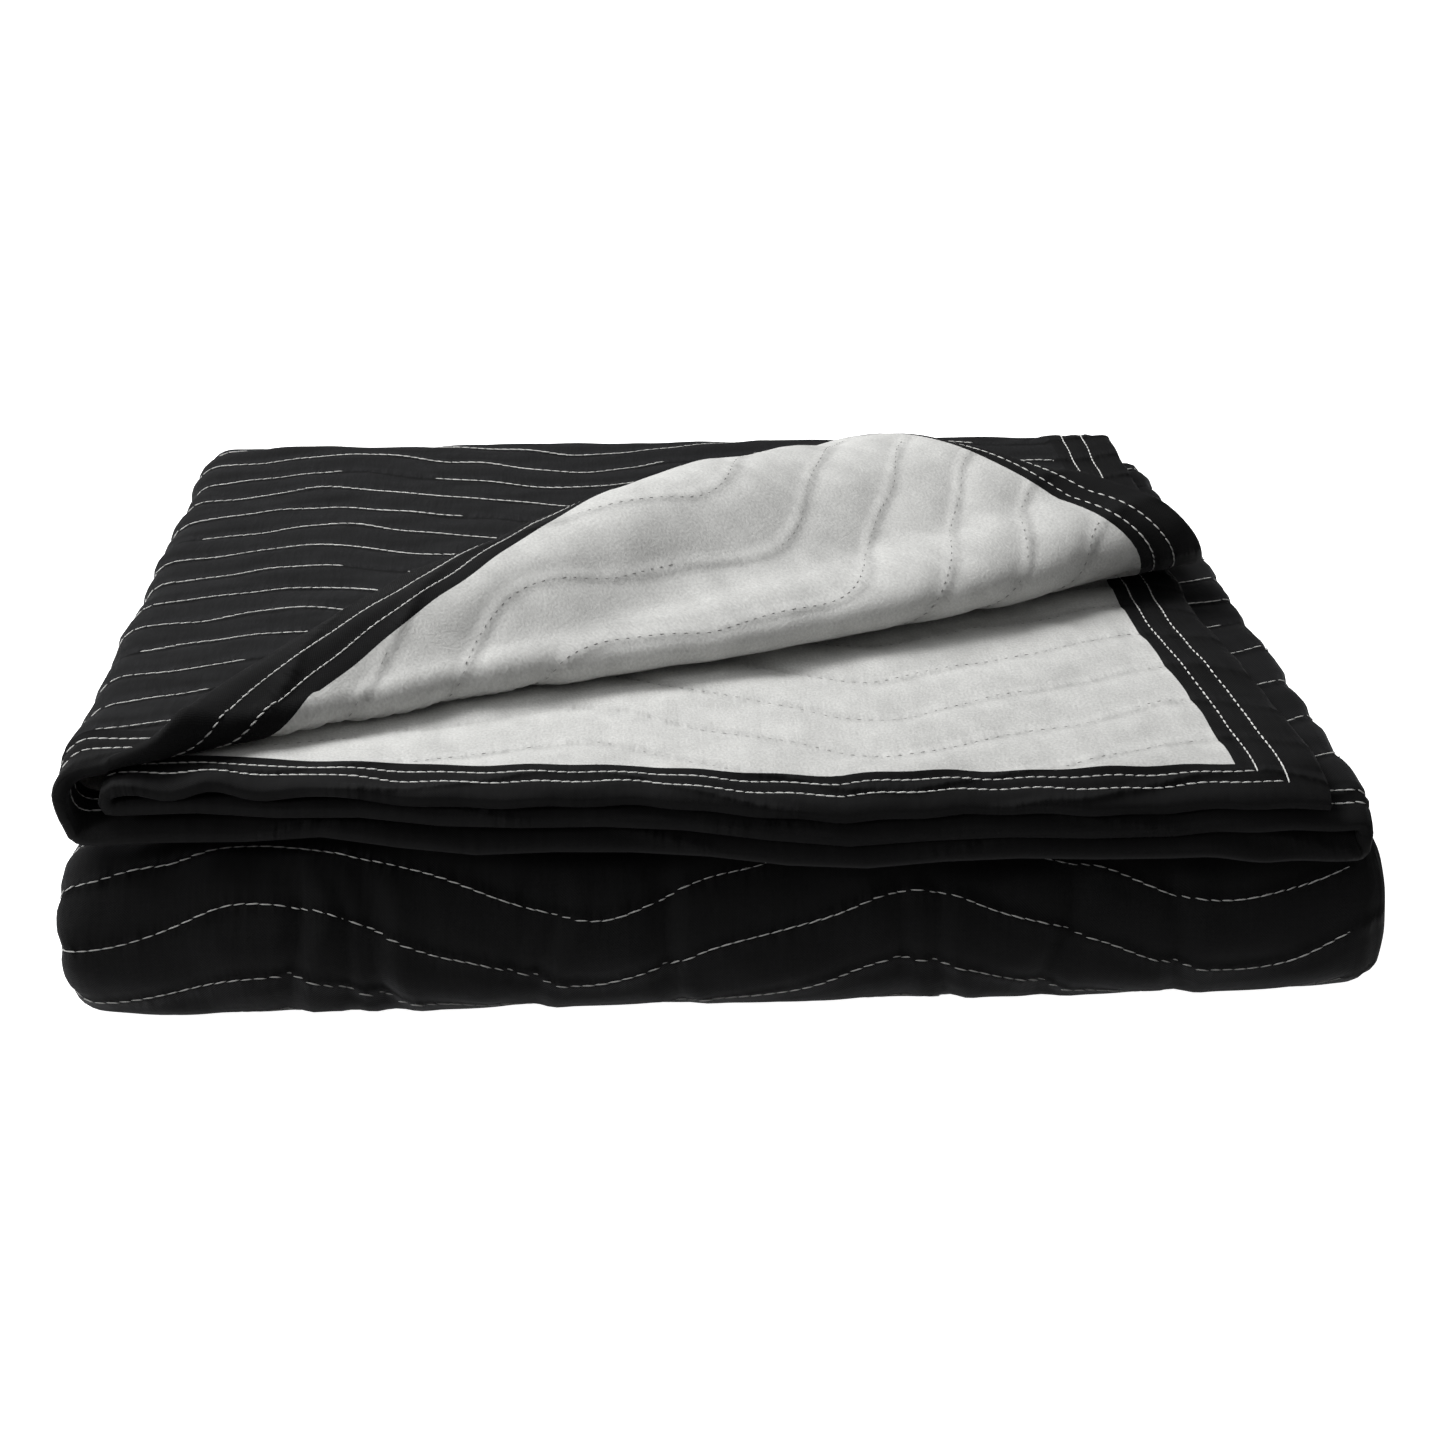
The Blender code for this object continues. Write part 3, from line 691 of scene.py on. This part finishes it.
def spans(places, step):
    """Stations through the places given, each span cut evenly into cells of about its step."""
    found = [places[0]]
    for a, b, s in zip(places, places[1:], step):
        count = max(1, int(round((b - a) / s)))
        found += [a + (b - a) * k / count for k in range(1, count + 1)]
    return np.array(found)


def cloth_stations(cell):
    """The fine grid's columns along u, its rows along v, and each row's share of the wave."""
    hem = [0.0, 0.0012, 0.0035, 0.0075, 0.0125, HEM_ROWS[0], 0.0175, 0.0200, 0.0225,
           HEM_ROWS[1], 0.0275, 0.0300, HEM - 0.0008, HEM]
    us = spans(
        [HEM, TOP_LONG, LEFT_END, RIGHT_START - 0.07, RIGHT_START, RIGHT_END,
         RIGHT_END + 0.07, INNER_START, INNER_END, U_LONG - HEM],
        [0.74 * cell, FOLD_CELL, HIDDEN_CELL, cell, TIGHT_CELL, cell, HIDDEN_CELL, FOLD_CELL,
         1.05 * cell])
    us = np.concatenate([hem, us[1:-1], [U_LONG - p for p in reversed(hem)]])
    last = FIRST_LINE + LINES_APART * round((BACK_END + 0.02 - FIRST_LINE) / LINES_APART)
    dense = np.arange(FIRST_LINE + LINES_APART, last + 1e-6, LINES_APART / ROWS_A_LINE)
    gap = spans([HEM, FIRST_LINE + LINES_APART], [cell])[1:-1]
    nose_first = FIRST_LINE + LINES_APART * round((NOSE_START - 0.02 - FIRST_LINE) / LINES_APART)
    nose = np.arange(nose_first, NOSE_END + 0.04, LINES_APART / ROWS_A_LINE)
    flat = spans([last, nose_first], [HIDDEN_CELL])[1:-1]
    rest = spans(
        [float(nose[-1]), INNER_BACK_AT, INNER_BACK_END, V_LONG - HEM],
        [HIDDEN_CELL, 0.004, HIDDEN_CELL])[1:-1]
    vs = np.concatenate([hem, gap, dense, flat, nose, rest, [V_LONG - p for p in reversed(hem[::2])]])
    share = np.zeros(len(vs))
    first = (vs > HEM) & (vs <= last + 1e-6)
    share[first] = smooth((vs[first] - HEM) / 0.05) * smooth((last + 0.03 - vs[first]) / 0.03)
    in_nose = (vs >= nose_first - 1e-6) & (vs <= nose[-1] + 1e-6)
    share[in_nose] = smooth((vs[in_nose] - nose_first + 0.03) / 0.03)
    return us, vs, share


def creases(u, v):
    """Soft upright dents in the front bulge: deeper, narrower ones beside low, broad ones."""
    x, _ = section_at(u, np.interp(v, OUTER, PATH[:, 0]))
    dents = np.zeros(np.shape(u))
    nose = np.exp(-(((v - 0.5 * (NOSE_START + NOSE_END)) / DENTS_HIGH) ** 4))
    for centre, wide, deep in NOSE_DENTS:
        drift = 0.005 * np.sin(v * 41.0 + centre * 60.0) + 0.002 * np.sin(v * 97.0)
        far = (x - centre - drift) / wide
        shape = np.exp(-(far ** 2)) - 0.4 * np.exp(-((far - 2.2) ** 2))
        dents += DENTS_DEEPER * deep * nose * shape
    return np.where(u < TOP_LONG, dents, 0.0)


def cloth_mesh(sizes):
    """The closed cloth's points, faces, flat coordinates and material numbers."""
    us, vs, share = cloth_stations(sizes.cell)
    u = np.repeat(us[:, None], len(vs), 1)
    v = np.repeat(vs[None, :], len(us), 0)
    v = v + wave(u, v) * share[None, :]
    m, (n, _, _) = middle(u, v), facing(u, v)
    h = half_thickness(u, v, sizes.crest, sizes.valley)
    felt = m + n * h[..., None]
    woven = m - n * (h - creases(u, v))[..., None]
    low = resting(u, v)
    woven[..., 2] = np.where(low, 0.0, np.maximum(woven[..., 2], 0.0))
    rows, cols = u.shape
    ids = np.arange(rows * cols).reshape(rows, cols)
    a, b, c, d = ids[:-1, :-1], ids[1:, :-1], ids[1:, 1:], ids[:-1, 1:]
    top = np.stack([a, b, c, d], -1).reshape(-1, 4)
    under = np.stack([d, c, b, a], -1).reshape(-1, 4) + rows * cols
    ring = np.concatenate([ids[:, 0], ids[-1, 1:], ids[-2::-1, -1], ids[0, -2:0:-1]])
    after = np.roll(ring, -1)
    rim = np.stack([after, ring, ring + rows * cols, after + rows * cols], -1)
    faces = np.concatenate([top, under, rim])
    points = rumpled(np.concatenate([felt.reshape(-1, 3), woven.reshape(-1, 3)]))
    flat = np.stack([pattern_u(u, v).ravel(), v.ravel()], -1)
    flat = np.concatenate([flat, flat])
    cu = 0.25 * (u[:-1, :-1] + u[1:, :-1] + u[1:, 1:] + u[:-1, 1:])
    cv = 0.25 * (v[:-1, :-1] + v[1:, :-1] + v[1:, 1:] + v[:-1, 1:])
    banded = edge_gap(cu, cv).ravel() < HEM
    number = np.concatenate([
        np.where(banded, 2, 1), np.where(banded, 2, 0), np.full(len(rim), 2)])
    return points, faces, flat, number


def new_object(name, mesh):
    o = bpy.data.objects.new(name, mesh)
    bpy.context.scene.collection.objects.link(o)
    return o


class BLANKET_OT_cloth(bpy.types.Operator):
    """Make the folded cloth with its woven face, felt face and hem"""

    bl_idname = "blanket.cloth"
    bl_label = "Cloth"

    def execute(self, context):
        sizes, looks = context.scene.blanket_sizes, context.scene.blanket_looks
        points, faces, flat, number = cloth_mesh(sizes)
        mesh = bpy.data.meshes.new("cloth")
        mesh.from_pydata(points.tolist(), [], faces.tolist())
        uv = mesh.uv_layers.new(name="Flat")
        corner = np.empty(len(mesh.loops), np.int32)
        mesh.loops.foreach_get("vertex_index", corner)
        uv.data.foreach_set("uv", flat[corner].ravel().astype(np.float32))
        mesh.materials.append(woven_material("woven face", tuple(looks.woven)))
        mesh.materials.append(felt_material("felt face", tuple(looks.felt)))
        mesh.materials.append(woven_material("hem binding", tuple(looks.woven), hem=True))
        mesh.polygons.foreach_set("material_index", number.astype(np.int32))
        mesh.polygons.foreach_set("use_smooth", np.ones(len(number), bool))
        mesh.update()
        cloth = new_object("blanket_cloth", mesh)
        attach(cloth, "root")
        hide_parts("blanket")
        return {"FINISHED"}


def quilt_stitches(step, u_range, v_range, limit=-3.0):
    """Places and headings of the quilting stitches in a rectangle; a few sink out of sight."""
    found = []
    first = int(math.floor((v_range[0] - FIRST_LINE - WAVE_HIGH) / LINES_APART))
    last = int(math.ceil((v_range[1] - FIRST_LINE + WAVE_HIGH) / LINES_APART))
    dense = np.linspace(u_range[0], u_range[1], 3000)
    for k in range(max(0, first), last + 1):
        centre = FIRST_LINE + LINES_APART * k
        swing = wave(dense, centre)
        far = np.concatenate([[0.0], np.cumsum(np.hypot(np.diff(dense), np.diff(swing)))])
        places = np.arange((k * 0.37 % 1.0) * step, far[-1], step)
        u = np.interp(places, far, dense)
        v = centre + np.interp(u, dense, swing)
        v = v + 0.0009 * np.sin(47.0 * u + 1.9 * k) + 0.0005 * np.sin(131.0 * u + 2.3 * k)
        sunk = np.sin(17.0 * u + 2.7 * k) + np.sin(31.0 * u + 5.1 * k) + 0.5 * np.sin(83.0 * u + k)
        keep = (v > max(v_range[0], HEM + 0.001)) & (v < v_range[1]) & (sunk > limit)
        keep &= (u > HEM) & (u < U_LONG - HEM)
        tilt = np.interp(u, dense, np.gradient(swing, dense))
        found.append(np.stack([u, v, np.ones(len(u)), tilt], -1)[keep])
    return np.concatenate(found)


def hem_stitches(step, start, end, inset, side):
    """Flat places and headings of one hem row: side 0 runs along u at v, side 1 along v at u."""
    places = np.arange(start + 0.4 * step, end, step)
    zero, one = np.zeros(len(places)), np.ones(len(places))
    if side == 0:
        return np.stack([places, zero + inset, one, zero], -1)
    return np.stack([zero + inset, places, zero, one], -1)


def stitch_frames(stitches, sizes, felt, sink):
    """Where each stitch lies and how it is turned: along the line, flat on its face."""
    u, v = stitches[:, 0], stitches[:, 1]
    m, (n, du, dv) = middle(u, v), facing(u, v)
    h = half_thickness(u, v, sizes.crest, sizes.valley)
    h = h if felt else h - creases(u, v)
    out = n if felt else -n
    along_line = du * stitches[:, 2:3] + dv * stitches[:, 3:4]
    along_line /= np.linalg.norm(along_line, axis=1, keepdims=True)
    side = np.cross(out, along_line)
    side /= np.linalg.norm(side, axis=1, keepdims=True)
    places = m + out * (h + (0.5 - sink) * sizes.thread)[:, None]
    turns = []
    for x, y, z in zip(along_line, side, np.cross(along_line, side)):
        turns.append(Matrix((x, y, z)).transposed().to_euler())
    return rumpled(places), np.array(turns)


def stitch_group():
    """Lays one stitch on every point, turned by the point's own turn, and makes it real."""
    found = bpy.data.node_groups.get("Stitches")
    if found:
        return found
    g = bpy.data.node_groups.new("Stitches", "GeometryNodeTree")
    socket(g, "Points", "NodeSocketGeometry")
    socket(g, "Stitch length", "NodeSocketFloat", value=0.0036)
    socket(g, "Thread thickness", "NodeSocketFloat", value=0.0011)
    socket(g, "Uneven", "NodeSocketFloat", value=0.12)
    socket(g, "Seed", "NodeSocketInt", value=3)
    socket(g, "Material", "NodeSocketMaterial")
    socket(g, "Stitches", "NodeSocketGeometry", low=True)
    start, end = g.nodes.new("NodeGroupInput"), g.nodes.new("NodeGroupOutput")
    ball = node(g, "GeometryNodeMeshUVSphere", {"Segments": 6, "Rings": 4, "Radius": 0.5})
    size = node(g, "ShaderNodeCombineXYZ", {
        0: start.outputs["Stitch length"], 1: start.outputs["Thread thickness"],
        2: start.outputs["Thread thickness"]})
    shaped = node(g, "GeometryNodeTransform", {0: ball.outputs["Mesh"], "Scale": size.outputs[0]})
    smooth_ball = node(g, "GeometryNodeSetShadeSmooth", {0: shaped.outputs[0]})
    turn = node(g, "GeometryNodeInputNamedAttribute", {"Name": "turn"}, data_type="FLOAT_VECTOR")
    less = sums(g, "SUBTRACT", 1.0, start.outputs["Uneven"])
    more = sums(g, "ADD", 1.0, start.outputs["Uneven"])
    chance = node(g, "FunctionNodeRandomValue", data_type="FLOAT")
    g.links.new(less, chance.inputs[2])
    g.links.new(more, chance.inputs[3])
    g.links.new(start.outputs["Seed"], chance.inputs["Seed"])
    laid = node(g, "GeometryNodeInstanceOnPoints", {
        "Points": start.outputs["Points"], "Instance": smooth_ball.outputs[0]})
    g.links.new(turn.outputs[0], laid.inputs["Rotation"])
    g.links.new(chance.outputs[1], laid.inputs["Scale"])
    real = node(g, "GeometryNodeRealizeInstances", {0: laid.outputs[0]})
    painted = node(g, "GeometryNodeSetMaterial", {
        0: real.outputs[0], "Material": start.outputs["Material"]})
    g.links.new(painted.outputs[0], end.inputs["Stitches"])
    return g


def stitched(name, places, turns, length, thread, paint):
    """A plain mesh of stitches, made by the geometry nodes from points."""
    mesh = bpy.data.meshes.new(name + " points")
    mesh.from_pydata(places.tolist(), [], [])
    turn = mesh.attributes.new("turn", "FLOAT_VECTOR", "POINT")
    turn.data.foreach_set("vector", turns.ravel().astype(np.float32))
    o = new_object(name, mesh)
    made = o.modifiers.new("Stitches", "NODES")
    made.node_group = stitch_group()
    values = {"Stitch length": length, "Thread thickness": thread, "Material": paint}
    for item in made.node_group.interface.items_tree:
        if item.in_out == "INPUT" and item.name in values:
            made[item.identifier] = values[item.name]
    context = bpy.context
    context.view_layer.update()
    plain = bpy.data.meshes.new_from_object(o.evaluated_get(context.evaluated_depsgraph_get()))
    o.modifiers.clear()
    o.data = plain
    bpy.data.meshes.remove(mesh)
    if "turn" in plain.attributes:
        plain.attributes.remove(plain.attributes["turn"])
    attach(o, "root")
    return o


class BLANKET_OT_quilting(bpy.types.Operator):
    """Lay the quilting stitches on the faces that show"""

    bl_idname = "blanket.quilting"
    bl_label = "Quilting"

    def execute(self, context):
        sizes, looks = context.scene.blanket_sizes, context.scene.blanket_looks
        paint = thread_material("quilting thread", tuple(looks.thread))
        # Painted shade: the felt side's stitches get the thread colour darkened to 0.40, standing for
        # the shade where they sink into the felt
        painted_shade_thread = thread_material("felt thread in painted shade", tuple(0.40 * c for c in looks.thread))
        outer = [
            quilt_stitches(sizes.stitch, (0.0, LEFT_END), (0.0, BACK_END), -1.45),
            quilt_stitches(sizes.stitch, (0.0, LEFT_END), (NOSE_START, NOSE_END + 0.03)),
            quilt_stitches(
                sizes.stitch, (RIGHT_START - 0.03, RIGHT_END + 0.06), (0.0, BACK_END), -1.3),
            quilt_stitches(sizes.stitch, (RIGHT_START - 0.03, RIGHT_END), (NOSE_START, NOSE_END)),
        ]
        for inside in ((BACK_END, NOSE_START), (NOSE_END + 0.03, V_LONG - HEM)):
            outer.append(quilt_stitches(sizes.stitch, (TOP_LONG + 0.009, LEFT_END), inside))
            outer.append(quilt_stitches(sizes.stitch, (RIGHT_START, RIGHT_END), inside))
        places, turns = stitch_frames(np.concatenate(outer), sizes, False, 0.25)
        length = 1.20 * sizes.stitch
        stitched("quilting_outer", places, turns, length, sizes.thread, paint)
        inner = [
            quilt_stitches(sizes.stitch, (HEM, TOP_LONG), (0.0, 0.30), -1.6),
            quilt_stitches(sizes.stitch, (INNER_END + 0.02, U_LONG), (0.0, PANEL_LONG), -1.2),
        ]
        places, turns = stitch_frames(np.concatenate(inner), sizes, True, 0.45)
        # These stitches use the thread darkened as painted shade
        stitched("quilting_felt", places, turns, 0.42 * sizes.stitch, 0.8 * sizes.thread, painted_shade_thread)
        return {"FINISHED"}


class BLANKET_OT_hem_rows(bpy.types.Operator):
    """Sew the two rows of stitches round the hem where it shows"""

    bl_idname = "blanket.hem_rows"
    bl_label = "Hem rows"

    def execute(self, context):
        sizes, looks = context.scene.blanket_sizes, context.scene.blanket_looks
        paint = thread_material("hem thread", tuple(looks.thread))
        step, rows = sizes.hem_stitch, []
        for inset in HEM_ROWS:
            rows.append(hem_stitches(step, inset, U_LONG - inset, inset, 0))
            rows.append(hem_stitches(step, inset, BACK_END, inset, 1))
            rows.append(hem_stitches(step, inset, BACK_END, U_LONG - inset, 1))
        stitches = np.concatenate(rows)
        length = 1.12 * step
        for name, felt in (("hem_rows_woven", False), ("hem_rows_felt", True)):
            places, turns = stitch_frames(stitches, sizes, felt, 0.3)
            stitched(name, places, turns, length, 1.15 * sizes.thread, paint)
        return {"FINISHED"}


class BLANKET_OT_declare(bpy.types.Operator):
    """Takes no step; the cloth and the thread stay as they are"""

    bl_idname = "blanket.declare"
    bl_label = "Declare the sheet"

    def execute(self, context):
        return {"FINISHED"}


def lamp(name, place, aim, size, power):
    light = bpy.data.lights.new(name, "AREA")
    light.shape, light.size, light.size_y, light.energy = "RECTANGLE", size[0], size[1], power
    o = bpy.data.objects.new(name, light)
    o.location = place
    o.rotation_euler = (Vector(aim) - Vector(place)).to_track_quat("-Z", "Y").to_euler()
    bpy.context.scene.collection.objects.link(o)


def sky(tree):
    """A soft white room: lit from above, dim from below."""
    tree.nodes.clear()
    ray = node(tree, "ShaderNodeTexCoord").outputs["Generated"]
    high = node(tree, "ShaderNodeSeparateXYZ", {0: ray}).outputs[2]
    glow = node(tree, "ShaderNodeMapRange", {
        0: high, "From Min": -0.3, "From Max": 0.9, "To Min": 0.03, "To Max": 0.42})
    back = node(tree, "ShaderNodeBackground", {"Strength": glow.outputs[0]})
    end = tree.nodes.new("ShaderNodeOutputWorld")
    tree.links.new(back.outputs[0], end.inputs[0])


class BLANKET_OT_stage(bpy.types.Operator):
    """Put down the floor, the lights and the camera"""

    bl_idname = "blanket.stage"
    bl_label = "Stage"

    def execute(self, context):
        scene, looks = context.scene, context.scene.blanket_looks
        bpy.ops.mesh.primitive_plane_add(size=40.0, location=(0.0, 0.0, 0.0))
        floor = context.object
        floor.name = "floor"
        paint, _, bsdf = shader("floor", tuple(looks.floor), 0.9)
        bsdf.inputs["Emission Color"].default_value = (1.0, 1.0, 1.0, 1.0)
        bsdf.inputs["Emission Strength"].default_value = 1.0
        floor.visible_diffuse = False
        floor.data.materials.append(paint)
        world = scene.world or bpy.data.worlds.new("World")
        scene.world = world
        world.use_nodes = True
        sky(world.node_tree)
        lamp("overhead", (-0.75, 0.45, 1.5), (0.0, 0.0, 0.05), (1.1, 0.9), 32.0)
        lamp("front left", (-1.7, -0.8, 0.6), (0.0, -0.1, 0.05), (0.35, 0.35), 11.0)
        view = bpy.data.cameras.new("camera")
        view.sensor_fit, view.sensor_width = "HORIZONTAL", SENSOR
        view.lens = SENSOR * LENS_PIXELS / PHOTO_WIDE
        view.clip_start, view.clip_end = 0.05, 30.0
        camera = bpy.data.objects.new("camera", view)
        camera.location = CAMERA_AT
        camera.rotation_euler = (math.pi / 2.0 - CAMERA_PITCH, 0.0, CAMERA_YAW)
        scene.collection.objects.link(camera)
        scene.camera = camera
        scene.view_settings.view_transform = "Standard"
        return {"FINISHED"}


class BLANKET_PT_panel(bpy.types.Panel):
    """Buttons that build the blanket, piece by piece"""

    bl_idname = "BLANKET_PT_panel"
    bl_label = "Folded moving blanket"
    bl_space_type = "VIEW_3D"
    bl_region_type = "UI"
    bl_category = "Blanket"

    def draw(self, context):
        sizes, looks = context.scene.blanket_sizes, context.scene.blanket_looks
        for name in ("crest", "valley", "cell", "stitch", "hem_stitch", "thread"):
            self.layout.prop(sizes, name)
        for name in ("woven", "felt", "thread", "floor"):
            self.layout.prop(looks, name)
        for operator in OPERATORS:
            self.layout.operator(operator.bl_idname)


OPERATORS = (
    BLANKET_OT_cloth,
    BLANKET_OT_quilting,
    BLANKET_OT_hem_rows,
    BLANKET_OT_declare,
    BLANKET_OT_stage,
)
CLASSES = (BlanketSizes, BlanketLooks, *OPERATORS, BLANKET_PT_panel)


def register():
    for c in CLASSES:
        bpy.utils.register_class(c)
    bpy.types.Scene.blanket_sizes = bpy.props.PointerProperty(type=BlanketSizes)
    bpy.types.Scene.blanket_looks = bpy.props.PointerProperty(type=BlanketLooks)


def unregister():
    del bpy.types.Scene.blanket_looks
    del bpy.types.Scene.blanket_sizes
    for c in reversed(CLASSES):
        bpy.utils.unregister_class(c)


def main():
    register()
    bpy.ops.blanket.cloth()
    bpy.ops.blanket.quilting()
    bpy.ops.blanket.hem_rows()
    bpy.ops.blanket.declare()
    bpy.ops.blanket.stage()
    bpy.context.view_layer.update()


if __name__ == "__main__":
    main()
